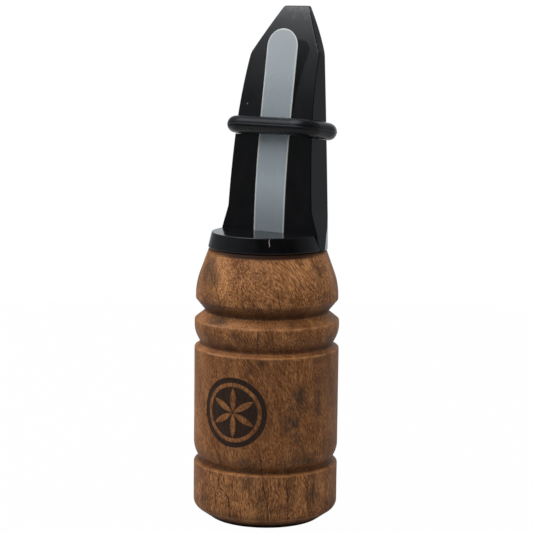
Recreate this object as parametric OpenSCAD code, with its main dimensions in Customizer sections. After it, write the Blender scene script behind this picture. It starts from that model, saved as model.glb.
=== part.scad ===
// Open-reed mouth call: a turned wooden barrel, a moulded toneboard that plugs
// into it, a flat plastic reed, and the rubber ring that holds the reed down.
// Millimetres. +Z runs up the barrel, the reed faces -Y, and the origin is the
// middle of the barrel's foot.

/* [Barrel] */
// Diameter over the plain grip, the foot band and the collar
barrel_d = 30; // [27:0.5:34]
// Diameter of the flat foot
foot_d = 22.6; // [18:0.2:26]
// Height of the bevel round the foot
foot_bevel_h = 2.6; // [1.5:0.1:4]
// Height of the plain band above the foot bevel
foot_band_h = 9.15; // [5:0.05:14]
// Depth of the lower groove
lower_groove_depth = 1.6; // [0.8:0.1:2.4]
// Height of the lower groove, with its swept upper side
lower_groove_h = 4.4; // [3:0.1:6]
// Height of the plain grip
grip_h = 19.75; // [12:0.25:30]
// Depth of the upper groove
upper_groove_depth = 1.3; // [0.8:0.1:2.4]
// Height of the upper groove, with its swept upper side
upper_groove_h = 4.25; // [3:0.1:6]
// Height of the narrow collar below the lanyard groove
collar_h = 1.55; // [1:0.05:3]
// Depth of the lanyard groove
lanyard_groove_depth = 2.3; // [1.4:0.1:3]
// Height of the lanyard groove
lanyard_groove_h = 4.35; // [3:0.1:6]
// Diameter at the foot of the tapered shoulder
shoulder_d = 29.5; // [27:0.5:33]
// Height of the tapered shoulder
shoulder_h = 10.45; // [7:0.25:15]
// Diameter of the rim that the toneboard's flange sits on
rim_d = 24.2; // [22:0.2:26]
// Diameter of the seat that the stem plugs into
seat_d = 16.2; // [15:0.1:18]
// Depth of the seat below the rim
seat_depth = 22; // [21:0.5:28]
// Diameter of the sound bore below the seat
sound_bore_d = 13.5; // [10:0.5:14.5]

/* [Toneboard] */
// Diameter of the flange
flange_d = 24.2; // [22:0.2:26]
// Thickness of the flange
flange_h = 3.2; // [2:0.1:5]
// Height of the board above the flange
board_h = 46.25; // [44:0.25:52]
// How far behind the axis the board's face starts
face_offset = 0.25; // [0:0.05:1]
// Radius of the face's lower, nearly flat stretch
face_lower_r = 174; // [140:2:260]
// Height above the flange where the face starts to curve more
face_lower_h = 19.3; // [15:0.1:22]
// Radius of the face's upper stretch
face_upper_r = 77.7; // [70:1:120]
// Width of the board at the flange
board_root_w = 24; // [22:0.1:24.2]
// Height of the flared root
root_flare_h = 4.7; // [3:0.1:8]
// Width of the board above the flared root
board_w = 20.95; // [19:0.05:22]
// Width of the board where the pointed end starts
board_neck_w = 17.1; // [14:0.1:18.5]
// Height of the pointed end
board_point_h = 9.75; // [6:0.25:12]
// Width of the flat tip
tip_w = 6.2; // [4:0.1:9]
// Diameter of the rounded back at the flange
back_root_d = 24.6; // [24:0.1:26]
// Diameter of the rounded back at the tip
back_tip_d = 22.2; // [21.6:0.1:24]
// How far the back's edge leans away on the flange's rim
rim_lean = 1.9; // [0:0.1:3]

/* [Stem] */
// Length of the stem below the flange
stem_l = 20; // [17:0.25:20.5]
// Diameter of the hole through the stem
stem_bore_d = 9; // [7:0.5:10]
// Thickness of the flange left over that hole
stem_bore_roof = 1.2; // [0.8:0.1:1.8]
// Width of the tone channel under the reed
channel_w = 5; // [3:0.1:6]
// How far the tone channel's upper end stays below the reed's round end
channel_inset = 4.6; // [2.5:0.1:10]
// Depth of the channel's floor behind the axis at the flange
channel_floor = 5.2; // [4.5:0.1:6]
// How far the floor recedes by the channel's upper end
channel_rise = 2.6; // [2:0.1:3]

/* [Stem rings] */
// Section diameter of the stem's rubber rings
stem_ring_d = 1.78; // [1.5:0.01:2.2]
// Distance from the flange to the middle of the upper ring
stem_ring_inset = 5; // [4:0.25:6]
// Distance between the two rings
stem_ring_pitch = 8; // [5:0.25:9.5]
// Room on each side of a ring in its groove
stem_ring_side_room = 0.15; // [0.1:0.05:0.4]

/* [Reed] */
// Width of the reed
reed_w = 7.45; // [7:0.05:9]
// Thickness of the reed
reed_t = 0.25; // [0.15:0.05:0.4]
// How far the reed's round end stays below the board's tip
reed_inset = 4.65; // [3:0.05:7]
// Height above the flange of the reed's lower end
reed_foot_h = 0.2; // [0.1:0.05:0.5]
// How far the reed's lower end lies to one side of the board's middle
reed_shift = 0.12; // [-0.4:0.02:0.4]
// How far the reed leans to that side, in degrees
reed_skew = 0.95; // [-1.5:0.05:1.5]
// Room between the reed's blade and the face at its bending line
reed_lift = 0.15; // [0.15:0.05:0.4]
// How much steeper the blade stands than the face at its bending line, in degrees
reed_rise = 1.15; // [0:0.05:2]

/* [Reed ring] */
// Section diameter of the rubber ring round the board
ring_d = 3.53; // [3:0.01:4]
// Height above the flange of the ring's middle, in front
ring_h = 21.9; // [20.5:0.1:24]
// How far the ring tips down towards the back, in degrees
ring_tilt = 8; // [4:0.5:12]
// Radius of the ring's middle round the back
ring_back_r = 12.6; // [12.3:0.05:13.5]
// Half of the distance between the ring's straight sides, at their middles
ring_side_x = 9.46; // [9.2:0.02:10]
// Radius of the bends at the board's front edges
ring_front_bend_r = 3; // [2.5:0.1:3.6]
// Radius of the bends where the sides meet the back
ring_rear_bend_r = 4; // [3.2:0.1:4.6]
// Room above and below the ring in its groove
ring_groove_room = 0.1; // [0.05:0.05:0.3]

/* [Fits] */
// Radial room between the stem and its seat
stem_clearance = 0.1; // [0.05:0.01:0.1]
// Radial room between a stem ring and what it runs in
ring_running_clearance = 0.04; // [0.02:0.01:0.08]
// Gap between the barrel's rim and the flange
rim_gap = 0.1; // [0.05:0.05:0.3]
// Gap between pieces that lie on each other
contact_gap = 0.03; // [0.02:0.01:0.06]
// Gap between the reed's two stretches at the bending line
bend_gap = 0.1; // [0.05:0.01:0.2]

/* [Hidden] */
$fn = 96;

wood = "#a9794f";
black_plastic = "#1c1c1f";
film = "#b9c2cc";
black_rubber = "#141416";

// Counts
corner_steps = 6;
face_steps = 12;
ring_sides = 20;
ring_step_a = 10;

// Small roundings and chamfers
turned_edge_r = 0.4;
foot_edge_r = 1;
bevel_edge_r = 2;
groove_floor_r = 0.35;
groove_sweep_r = 5.6;
shoulder_sweep_r = 15;
bore_chamfer = 0.5;
flange_edge_r = 0.4;
flare_r = 3;
neck_r = 3;
tip_edge_r = 0.4;
stem_chamfer = 0.8;
// The most of an edge that one rounded corner may take, as a share of the edge
corner_room_share = 0.8;
// One overrun for all cuts
over = 1;

// Where a groove's sweep ends, as a share of the groove's height
sweep_share = 0.52;
// The lip under a groove, as a share of the groove's height
lower_lip_share = 0.08;
upper_lip_share = 0.2;
// The floor of the lanyard groove, as a share of its height
lanyard_floor_share = 0.42;
// Where the shoulder's taper starts, as a share of its height
taper_share = 0.3;

// Barrel heights, from the foot up
barrel_r = barrel_d / 2;
lower_groove_z = foot_bevel_h + foot_band_h;
grip_z = lower_groove_z + lower_groove_h;
upper_groove_z = grip_z + grip_h;
collar_z = upper_groove_z + upper_groove_h;
lanyard_z = collar_z + collar_h;
shoulder_z = lanyard_z + lanyard_groove_h;
rim_z = shoulder_z + shoulder_h;
seat_z = rim_z - seat_depth;

// Toneboard places
flange_z = rim_z + rim_gap;
board_z = flange_z + flange_h;
board_neck_h = board_h - board_point_h;
stem_r = seat_d / 2 - stem_clearance;
back_root_r = back_root_d / 2;
back_tip_r = back_tip_d / 2;
// The flare's slope carries on down past the flange's rim
flare_slope = (board_root_w - board_w) / 2 / root_flare_h;
skirt_half_w = board_root_w / 2 + flare_slope * flange_h;

// Stem ring places
stem_ring_outer_r = seat_d / 2 - ring_running_clearance;
stem_ring_mid_r = stem_ring_outer_r - stem_ring_d / 2;
stem_groove_r = stem_ring_outer_r - stem_ring_d - ring_running_clearance;
stem_groove_w = stem_ring_d + 2 * stem_ring_side_room;
upper_ring_z = flange_z - stem_ring_inset;
lower_ring_z = upper_ring_z - stem_ring_pitch;

// Angle of the face where its two stretches meet
face_break_a = asin(face_lower_h / face_lower_r);

// Reed places: the blade starts under the middle of the ring
ring_r = ring_d / 2;
reed_h = board_h - reed_inset;
channel_h = reed_h - channel_inset;
bend_h = ring_h;
tail_end_h = bend_h - bend_gap;
blade_slope_a = face_angle(bend_h) - reed_rise;
blade_l = (reed_h - bend_h) / cos(blade_slope_a);

// How far behind the axis the face lies, at height h above the flange
function face_y(h) = h < face_lower_h
    ? face_offset + face_lower_r - sqrt(pow(face_lower_r, 2) - pow(h, 2))
    : face_offset + face_lower_r * (1 - cos(face_break_a))
        + face_upper_r * (cos(face_break_a) - cos(face_angle(h)));
// The face's angle from upright at that height
function face_angle(h) = h < face_lower_h
    ? asin(h / face_lower_r)
    : asin(sin(face_break_a) + (h - face_lower_h) / face_upper_r);
// Points up the face from one height to another, a distance in front of it
function face_points(low, high, front) =
    [for (i = [0 : face_steps]) let (h = low + (high - low) * i / face_steps) [face_y(h) - front, h]];

// An outline with round corners: each entry is [x, y, corner radius]
function unit(v) = v / norm(v);
function flat(p) = [p.x, p.y];
function corner(a, b, c, r) =
    let (u = unit(a - b), v = unit(c - b), half = acos(u * v) / 2)
    let (room = min(norm(a - b), norm(c - b)) * corner_room_share, fit_r = min(r, room * tan(half)))
    let (centre = b + unit(u + v) * fit_r / sin(half))
    let (start = b + u * fit_r / tan(half) - centre, stop = b + v * fit_r / tan(half) - centre)
    let (first = atan2(start.y, start.x), turn = atan2(stop.y, stop.x) - first)
    let (sweep = (turn + 540) % 360 - 180)
    [for (i = [0 : corner_steps])
        let (a = first + sweep * i / corner_steps) centre + fit_r * [cos(a), sin(a)]];
function rounded(points) =
    let (n = len(points))
    [for (i = [0 : n - 1])
        let (a = flat(points[(i + n - 1) % n]), b = flat(points[i]), c = flat(points[(i + 1) % n]))
        each points[i][2] == 0 ? [b] : corner(a, b, c, points[i][2])];

// The barrel's turned outline, from the middle of the foot to the middle of the rim
function barrel_outline() = rounded([
    [0, 0, 0],
    [foot_d / 2, 0, foot_edge_r],
    [barrel_r, foot_bevel_h, bevel_edge_r],
    [barrel_r, lower_groove_z, turned_edge_r],
    [barrel_r - lower_groove_depth, lower_groove_z + lower_groove_h * lower_lip_share, groove_floor_r],
    [barrel_r, lower_groove_z + lower_groove_h * sweep_share, groove_sweep_r],
    [barrel_r, upper_groove_z, turned_edge_r],
    [barrel_r - upper_groove_depth, upper_groove_z + upper_groove_h * upper_lip_share, groove_floor_r],
    [barrel_r, collar_z - upper_groove_h * upper_lip_share, groove_sweep_r],
    [barrel_r, lanyard_z, turned_edge_r],
    [barrel_r - lanyard_groove_depth, lanyard_z + lanyard_groove_h * lanyard_floor_share, groove_floor_r],
    [shoulder_d / 2, shoulder_z, turned_edge_r],
    [shoulder_d / 2, shoulder_z + shoulder_h * taper_share, shoulder_sweep_r],
    [rim_d / 2, rim_z, turned_edge_r],
    [0, rim_z, 0]
]);

module barrel() {
    color(wood)
    difference() {
        rotate_extrude()
            polygon(barrel_outline());
        translate([0, 0, -over])
            cylinder(d = sound_bore_d, h = seat_z + 2 * over);
        translate([0, 0, seat_z])
            cylinder(d = seat_d, h = seat_depth + over);
        // Broken edges at both mouths
        translate([0, 0, -over])
            cylinder(r1 = sound_bore_d / 2 + bore_chamfer + over, r2 = sound_bore_d / 2, h = bore_chamfer + over);
        translate([0, 0, rim_z - bore_chamfer])
            cylinder(r1 = seat_d / 2, r2 = seat_d / 2 + bore_chamfer + over, h = bore_chamfer + over);
    }
}

// Side view of the board: the curved face, the flat tip, and an open back
module board_side() {
    polygon(concat(
        [[face_offset + rim_lean, -flange_h]],
        face_points(0, face_lower_h, 0),
        face_points(face_lower_h, board_h, 0),
        [[back_root_d, board_h], [back_root_d, -flange_h]]
    ));
}

// Front view of the board: flared root, long taper, pointed end
module board_front() {
    polygon(rounded([
        [-skirt_half_w, -flange_h, 0],
        [skirt_half_w, -flange_h, 0],
        [board_w / 2, root_flare_h, flare_r],
        [board_neck_w / 2, board_neck_h, neck_r],
        [tip_w / 2, board_h, tip_edge_r],
        [-tip_w / 2, board_h, tip_edge_r],
        [-board_neck_w / 2, board_neck_h, neck_r],
        [-board_w / 2, root_flare_h, flare_r]
    ]));
}

// Turns a side view (back, up) into a slab of a given width
module slab(width) {
    translate([-width / 2, 0, 0])
        rotate([90, 0, 90])
            linear_extrude(width)
                children();
}

// Turns a front view (across, up) into a block that reaches to front and back
module block(depth) {
    translate([0, depth / 2, 0])
        rotate([90, 0, 0])
            linear_extrude(depth)
                children();
}

module board() {
    intersection() {
        slab(2 * back_root_d)
            board_side();
        block(2 * back_root_d)
            board_front();
        union() {
            cylinder(r1 = back_root_r, r2 = back_tip_r, h = board_h);
            translate([0, 0, -flange_h])
                cylinder(r = back_root_r, h = flange_h);
        }
    }
}

module flange() {
    translate([0, 0, -flange_h])
        rotate_extrude()
            polygon(rounded([
                [0, 0, 0],
                [flange_d / 2, 0, flange_edge_r],
                [flange_d / 2, flange_h, flange_edge_r],
                [0, flange_h, 0]
            ]));
}

// The stem below the flange, with a groove for each ring
module stem() {
    difference() {
        translate([0, 0, -flange_h])
            mirror([0, 0, 1])
                rotate_extrude()
                    polygon([
                        [0, 0],
                        [stem_r, 0],
                        [stem_r, stem_l - stem_chamfer],
                        [stem_r - stem_chamfer, stem_l],
                        [0, stem_l]
                    ]);
        for (z = [upper_ring_z, lower_ring_z])
            translate([0, 0, z - board_z - stem_groove_w / 2])
                difference() {
                    cylinder(r = stem_r + over, h = stem_groove_w);
                    cylinder(r = stem_groove_r, h = stem_groove_w);
                }
    }
}

// The tone channel: a straight slot with a round upper end and a sloping floor
module tone_channel() {
    channel_foot = flange_h - (flange_h - stem_bore_roof) / 2;
    intersection() {
        block(2 * back_root_d)
            union() {
                translate([-channel_w / 2, -channel_foot])
                    square([channel_w, channel_h - channel_w / 2 + channel_foot]);
                translate([0, channel_h - channel_w / 2])
                    circle(d = channel_w);
            }
        slab(2 * channel_w)
            polygon([
                [face_offset, -channel_foot],
                [face_offset, 0],
                [-over, 0],
                [-over, channel_h + over],
                [channel_floor + channel_rise, channel_h + over],
                [channel_floor, -channel_foot]
            ]);
    }
}

module toneboard() {
    color(black_plastic)
    translate([0, 0, board_z])
        difference() {
            union() {
                board();
                flange();
                stem();
            }
            tone_channel();
            translate([0, 0, -flange_h - stem_l - over])
                cylinder(d = stem_bore_d, h = stem_l + flange_h - stem_bore_roof + over);
            ring_groove();
        }
}

// The reed ring's route in its own plane: x across, y back, middle at the axis.
// It is straight across the reed, bends round the board's front edges, and its
// sides run back into the bends that join the arc of the back.
ring_front_y = face_y(ring_h) - reed_lift - reed_t - 2 * contact_gap - ring_r / cos(face_angle(ring_h));
ring_front_x = ring_side_x - ring_front_bend_r;
ring_front_mid_y = ring_front_y + ring_front_bend_r;
ring_rear_x = ring_side_x - ring_rear_bend_r;
ring_rear_y = sqrt(pow(ring_back_r - ring_rear_bend_r, 2) - pow(ring_rear_x, 2));
ring_rear_a = atan2(ring_rear_y, ring_rear_x);
// Its arcs: middle, radius, first and last angle, and 1 where it starts on the last one's end
ring_arcs = [
    [ring_front_x, ring_front_mid_y, ring_front_bend_r, -90, 0, 0],
    [ring_rear_x, ring_rear_y, ring_rear_bend_r, 0, ring_rear_a, 0],
    [0, 0, ring_back_r, ring_rear_a, 180 - ring_rear_a, 1],
    [-ring_rear_x, ring_rear_y, ring_rear_bend_r, 180 - ring_rear_a, 180, 1],
    [-ring_front_x, ring_front_mid_y, ring_front_bend_r, 180, 270, 0]
];
// Points round the route, moved in by an inset, each with its outward angle
function ring_route(inset) =
    [for (arc = ring_arcs) let (n = ceil((arc[4] - arc[3]) / ring_step_a))
        for (i = [arc[5] : n]) let (a = arc[3] + (arc[4] - arc[3]) * i / n)
            [arc[0] + (arc[2] - inset) * cos(a), arc[1] + (arc[2] - inset) * sin(a), a]];

// Puts what is drawn in the ring's plane where the ring lies on the board
module in_ring_plane() {
    translate([0, ring_front_y, ring_h])
        rotate([-ring_tilt, 0, 0])
            translate([0, -ring_front_y, 0])
                children();
}

// The ring itself: a round section carried round the route
module ring_tube() {
    route = ring_route(0);
    n = len(route);
    m = ring_sides;
    points = [for (p = route) for (j = [0 : m - 1]) let (b = 360 * j / m)
        [p[0] + ring_r * cos(b) * cos(p[2]), p[1] + ring_r * cos(b) * sin(p[2]), ring_r * sin(b)]];
    faces = [for (i = [0 : n - 1]) for (j = [0 : m - 1])
        let (here = i * m, next = (i + 1) % n * m, up = (j + 1) % m)
            each [[here + j, next + up, next + j], [here + j, here + up, next + up]]];
    polyhedron(points, faces);
}

// The groove that the ring lies in: a slot round a core of the ring's inner shape
module ring_groove() {
    groove_w = ring_d + 2 * ring_groove_room;
    in_ring_plane()
        translate([0, 0, -groove_w / 2])
            difference() {
                cylinder(r = back_root_r + over, h = groove_w);
                translate([0, 0, -over])
                    linear_extrude(groove_w + 2 * over)
                        polygon([for (p = ring_route(ring_r + contact_gap)) flat(p)]);
            }
}

module reed_ring() {
    color(black_rubber)
    translate([0, 0, board_z])
        in_ring_plane()
            ring_tube();
}

// Puts what is drawn straight up the board's face where the reed lies, a little askew
module laid_askew() {
    translate([reed_shift, 0, board_z + reed_foot_h])
        rotate([0, reed_skew, 0])
            translate([0, 0, -reed_foot_h])
                children();
}

// The reed's lower stretch, bent to the face under the ring
module reed_tail() {
    upper = face_points(face_lower_h, tail_end_h, contact_gap);
    lower = face_points(reed_foot_h, face_lower_h, contact_gap);
    inner = concat(lower, upper);
    outer = [for (p = inner) p - [reed_t, 0]];
    color(film)
    laid_askew()
        slab(reed_w)
            polygon(concat(inner, [for (i = [len(outer) - 1 : -1 : 0]) outer[i]]));
}

// The reed's free stretch, straight, with a round end
module reed_blade() {
    color(film)
    laid_askew()
        translate([0, face_y(bend_h) - reed_lift, bend_h])
            rotate([90 - blade_slope_a, 0, 0])
                linear_extrude(reed_t)
                    union() {
                        translate([-reed_w / 2, 0])
                            square([reed_w, blade_l - reed_w / 2]);
                        translate([0, blade_l - reed_w / 2])
                            circle(d = reed_w);
                    }
}

// A round ring about +Z
module stem_ring(z) {
    color(black_rubber)
    translate([0, 0, z])
        rotate_extrude()
            translate([stem_ring_mid_r, 0])
                circle(d = stem_ring_d);
}

module stem_ring_upper() {
    stem_ring(upper_ring_z);
}

module stem_ring_lower() {
    stem_ring(lower_ring_z);
}

barrel();
toneboard();
reed_tail();
reed_blade();
reed_ring();
stem_ring_upper();
stem_ring_lower();
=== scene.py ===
"""An open-reed mouth call: turned wooden barrel, black toneboard, film reed and rubber rings."""
import math

import bmesh
import bpy
import numpy as np
from mathutils import Matrix, Vector, noise


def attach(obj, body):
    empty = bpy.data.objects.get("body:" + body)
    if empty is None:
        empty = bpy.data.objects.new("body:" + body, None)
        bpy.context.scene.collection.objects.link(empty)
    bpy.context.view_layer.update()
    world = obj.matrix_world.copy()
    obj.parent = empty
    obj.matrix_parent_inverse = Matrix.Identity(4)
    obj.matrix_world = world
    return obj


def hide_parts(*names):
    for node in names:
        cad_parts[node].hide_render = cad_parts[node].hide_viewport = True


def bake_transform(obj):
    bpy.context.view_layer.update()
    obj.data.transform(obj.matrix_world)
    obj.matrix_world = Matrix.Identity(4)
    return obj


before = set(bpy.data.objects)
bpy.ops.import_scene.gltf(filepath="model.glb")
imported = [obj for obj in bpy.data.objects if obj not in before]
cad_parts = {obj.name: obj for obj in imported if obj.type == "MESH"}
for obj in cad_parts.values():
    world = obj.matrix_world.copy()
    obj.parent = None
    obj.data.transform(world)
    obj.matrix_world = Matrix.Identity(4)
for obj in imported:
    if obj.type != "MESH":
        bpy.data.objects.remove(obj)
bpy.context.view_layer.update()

MM = 0.001
IMAGE_PX = 533

# Barrel, in millimetres
FOOT_R = 11.3
BARREL_R = 15.0
RIM_R = 12.1
SHOULDER_R = 14.75
FOOT_BEVEL_H = 2.6
LOWER_GROOVE_Z = 11.75
LOWER_GROOVE_H = 4.4
LOWER_GROOVE_DEPTH = 1.6
UPPER_GROOVE_Z = 35.9
UPPER_GROOVE_H = 4.25
UPPER_GROOVE_DEPTH = 1.3
LANYARD_Z = 41.7
LANYARD_H = 4.35
LANYARD_DEPTH = 2.3
SHOULDER_Z = 46.05
SHOULDER_H = 10.45
RIM_Z = 56.5
SEAT_R = 8.1
SEAT_Z = 34.5
BORE_R = 6.75
MOUTH_CHAMFER = 0.5

# Floors and bends of the barrel's outline, and the radii of its corners
LOWER_FLOOR_Z = LOWER_GROOVE_Z + 0.08 * LOWER_GROOVE_H
LOWER_SWEEP_Z = LOWER_GROOVE_Z + 0.52 * LOWER_GROOVE_H
UPPER_LIP_H = 0.2 * UPPER_GROOVE_H
UPPER_FLOOR_Z = UPPER_GROOVE_Z + UPPER_LIP_H
UPPER_SWEEP_Z = UPPER_GROOVE_Z + UPPER_GROOVE_H - UPPER_LIP_H
LANYARD_FLOOR_Z = LANYARD_Z + 0.42 * LANYARD_H
SHOULDER_BEND_Z = SHOULDER_Z + 0.3 * SHOULDER_H
FOOT_EDGE_R = 1.0
BEVEL_EDGE_R = 2.0
TURNED_EDGE_R = 0.4
GROOVE_FLOOR_R = 0.35
GROOVE_SWEEP_R = 5.6
SHOULDER_SWEEP_R = 15.0
RIM_EDGE_R = 0.6

# The barrel's outside lies beyond this radius and is slightly out of round
INSIDE_R = RIM_R - 1.5
WOBBLE = 0.02

# Toneboard, in millimetres; heights h are measured from the top of the flange
FLANGE_TOP_R = 11.58
FLANGE_FOOT_R = 12.33
FLANGE_EDGE_R = 0.2
FLANGE_FOOT_Z = RIM_Z + 0.1
FLANGE_H = 3.2
FLANGE_TOP_Z = 59.8
BOARD_H = 46.25
TIP_Z = FLANGE_TOP_Z + BOARD_H
FACE_OFFSET = 0.25
FACE_LOWER_R = 174.0
FACE_LOWER_H = 19.3
FACE_UPPER_R = 77.7
ROOT_HALF_W = 12.0
ROOT_SPREAD = 0.33
ROOT_FLARE_H = 4.7
BOARD_HALF_W = 10.475
NECK_HALF_W = 8.55
NECK_H = 36.5
BOARD_BEND_R = 3.0
TIP_HALF_W = 3.1
TIP_EDGE_R = 0.35
FRONT_EDGE_R = 0.16
NECK_EDGE_MORE = 0.10
BACK_EDGE_R = 0.35
BACK_ROOT_R = 12.3
BACK_TIP_R = 11.1
BACK_WIDER = 0.35
BACK_SHALLOWER = 0.5
RIM_LEAN = 0.8
STEM_R = 8.0
STEM_L = 20.0
STEM_CHAMFER = 0.8
STEM_EDGE_R = 0.1
STEM_CORNER_R = 0.15
STEM_BORE_R = 4.5
STEM_BORE_ROOF = 1.2
CHANNEL_W = 5.0
CHANNEL_H = 37.0
CHANNEL_FLOOR = 5.2
CHANNEL_RISE = 2.6

# Rings, in millimetres
RING_R = 1.765
RING_H = 21.9
RING_Z = FLANGE_TOP_Z + RING_H
RING_TILT = 8.0
RING_BACK_R = 12.6
RING_SIDE_X = 9.46
RING_FRONT_BEND_R = 3.0
RING_REAR_BEND_R = 4.0
RING_GROOVE_ROOM = 0.1
RING_FLASH = 0.10
STEM_RING_FLASH = 0.03
STEM_RING_R = 0.89
STEM_RING_OUTER_R = 8.06
STEM_RING_GROOVE_R = 6.24
STEM_RING_SIDE_ROOM = 0.15
STEM_RING_HEIGHTS = {"upper": 51.6, "lower": 43.6}

# Reed, in millimetres
REED_W = 7.45
REED_END_R = REED_W / 2
REED_T = 0.25
REED_H = 41.6
REED_FOOT_H = 0.03
REED_SHIFT = 0.12
REED_SKEW = 0.95
REED_LIFT = 0.15
REED_RISE = 1.15
REED_EDGE_R = 0.06
REED_CUT_EDGE = 0.30
CONTACT_GAP = 0.03

# Burned ornament on the barrel, in millimetres and degrees round from the front
ORNAMENT_AZIMUTH = 8.5
ORNAMENT_Z = 24.5
ORNAMENT_R = 7.2
ORNAMENT_RING_R = 6.1
PETAL_R = 5.3
PETAL_SHARE = 0.985
BURN_EDGE = 0.07
BURN_DEPTH = 0.12

# The side of the barrel whose figure leans to the left and where the flange's painted shadow on the
# rim is deepest, in degrees
FIGURE_AND_SHADOW_AZIMUTH = 35.0

# Longest mesh edges and the bands of finer ones in millimetres, and the widest slice in degrees
FINE_STEP = 0.12
END_STEP = 0.2
PLAIN_STEP = 0.4
BORE_STEP = 2.0
BOARD_STEP = 0.8
RING_STEP = 0.7
SLICE = 1.6
RIM_BAND_H = 3
ORNAMENT_BAND_H = 4

# Studio, in millimetres and degrees: azimuth and elevation of its bright window
FLOOR_R = 290.0
SURROUND_R = 900
WINDOW = (-35, 65)
WINDOW_GLOW = 3.8

# Camera, fitted to the photograph: millimetres, degrees and pixels
CAMERA_AZIMUTH = 35.0
CAMERA_PITCH = 8.06
CAMERA_ROLL = 0.648
CAMERA_DISTANCE = 380.0
CAMERA_TARGET_Z = 52.52
CAMERA_SIDE = -0.207
FOCAL_PX = 1836.6
SENSOR = 36.0


# Meshes

def link(obj):
    bpy.context.scene.collection.objects.link(obj)
    return obj


def mesh_object(name, points, faces):
    """A smooth-shaded object from points in millimetres."""
    mesh = bpy.data.meshes.new(name)
    mesh.from_pydata([tuple(c * MM for c in p) for p in points], [], faces)
    mesh.validate()
    mesh.polygons.foreach_set("use_smooth", [True] * len(mesh.polygons))
    mesh.update()
    return link(bpy.data.objects.new(name, mesh))


def outward(obj):
    """Turns every face's normal outward."""
    mesh = bmesh.new()
    mesh.from_mesh(obj.data)
    bmesh.ops.recalc_face_normals(mesh, faces=mesh.faces)
    mesh.to_mesh(obj.data)
    mesh.free()
    return obj


def loft(name, sections, closed=False):
    """Skins a list of rings of equally many points; open lofts get caps."""
    count = len(sections[0])
    points = [p for section in sections for p in section]
    faces = []
    last = len(sections) if closed else len(sections) - 1
    for i in range(last):
        a = i * count
        b = (i + 1) % len(sections) * count
        for j in range(count):
            k = (j + 1) % count
            faces.append((a + j, a + k, b + k, b + j))
    if not closed:
        faces.append(tuple(range(count))[::-1])
        faces.append(tuple(range((len(sections) - 1) * count, len(sections) * count)))
    return outward(mesh_object(name, points, faces))


def combine(obj, other, operation):
    """Applies an exact boolean and removes the other object."""
    modifier = obj.modifiers.new("cut", "BOOLEAN")
    modifier.operation = operation
    modifier.solver = "EXACT"
    modifier.object = other
    bpy.context.view_layer.update()
    evaluated = obj.evaluated_get(bpy.context.evaluated_depsgraph_get())
    mesh = bpy.data.meshes.new_from_object(evaluated)
    obj.modifiers.clear()
    obj.data = mesh
    bpy.data.objects.remove(other)
    return obj


def paint(obj, name, values):
    """Stores a value at each point for the material to read."""
    layer = obj.data.attributes.new(name, "FLOAT", "POINT")
    layer.data.foreach_set("value", values)


def weigh_normals(obj, sharp=33):
    """Keeps flats flat beside small roundings, and edges of more than sharp degrees hard."""
    obj.data.polygons.foreach_set("use_smooth", [True] * len(obj.data.polygons))
    obj.data.set_sharp_from_angle(angle=math.radians(sharp))
    modifier = obj.modifiers.new("weighted", "WEIGHTED_NORMAL")
    modifier.keep_sharp = True
    return obj


def fillet(before, at, after, radius, steps, share=0.8):
    """Points of the arc that rounds one corner of an outline, on at most a share of its sides."""
    at = Vector(at)
    to_before = Vector(before) - at
    to_after = Vector(after) - at
    a = to_before.normalized()
    b = to_after.normalized()
    half = a.angle(b) / 2
    radius = min(radius, share * min(to_before.length, to_after.length) * math.tan(half))
    centre = at + (a + b).normalized() * radius / math.sin(half)
    start = at + a * radius / math.tan(half) - centre
    stop = at + b * radius / math.tan(half) - centre
    first = math.atan2(start.y, start.x)
    turn = (math.atan2(stop.y, stop.x) - first + 3 * math.pi) % (2 * math.pi) - math.pi
    angles = [first + turn * i / steps for i in range(steps + 1)]
    return [(centre.x + radius * math.cos(t), centre.y + radius * math.sin(t)) for t in angles]


def rounded(corners, steps=8):
    """An outline from corners of x, y and radius."""
    out = []
    for i, (x, y, radius) in enumerate(corners):
        before = corners[i - 1][:2]
        after = corners[(i + 1) % len(corners)][:2]
        out += [(x, y)] if radius == 0 else fillet(before, (x, y), after, radius, steps)
    return out


def spaced(points, step):
    """Fills the stretches between points so that none is longer than its step."""
    out = []
    for i, a in enumerate(points):
        b = points[(i + 1) % len(points)]
        length = math.dist(a, b)
        parts = max(1, math.ceil(length / step(a, b)))
        out += [tuple(np.add(a, np.subtract(b, a) * k / parts)) for k in range(parts)]
    return out


# Nodes

class Nodes:
    """Builds the nodes of a material or a world. Plain numbers and tuples may stand for sockets."""

    def __init__(self, owner):
        owner.use_nodes = True
        self.nodes = owner.node_tree.nodes
        self.links = owner.node_tree.links
        self.nodes.clear()

    def plug(self, socket, value):
        if isinstance(value, bpy.types.NodeSocket):
            self.links.new(value, socket)
        else:
            socket.default_value = value

    def add(self, kind, inputs=(), **settings):
        node = self.nodes.new("ShaderNode" + kind)
        for key, value in settings.items():
            setattr(node, key, value)
        for key, value in dict(inputs).items():
            self.plug(node.inputs[key], value)
        return node

    def math(self, operation, a, b=0.0):
        return self.add("Math", {0: a, 1: b}, operation=operation).outputs[0]


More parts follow.
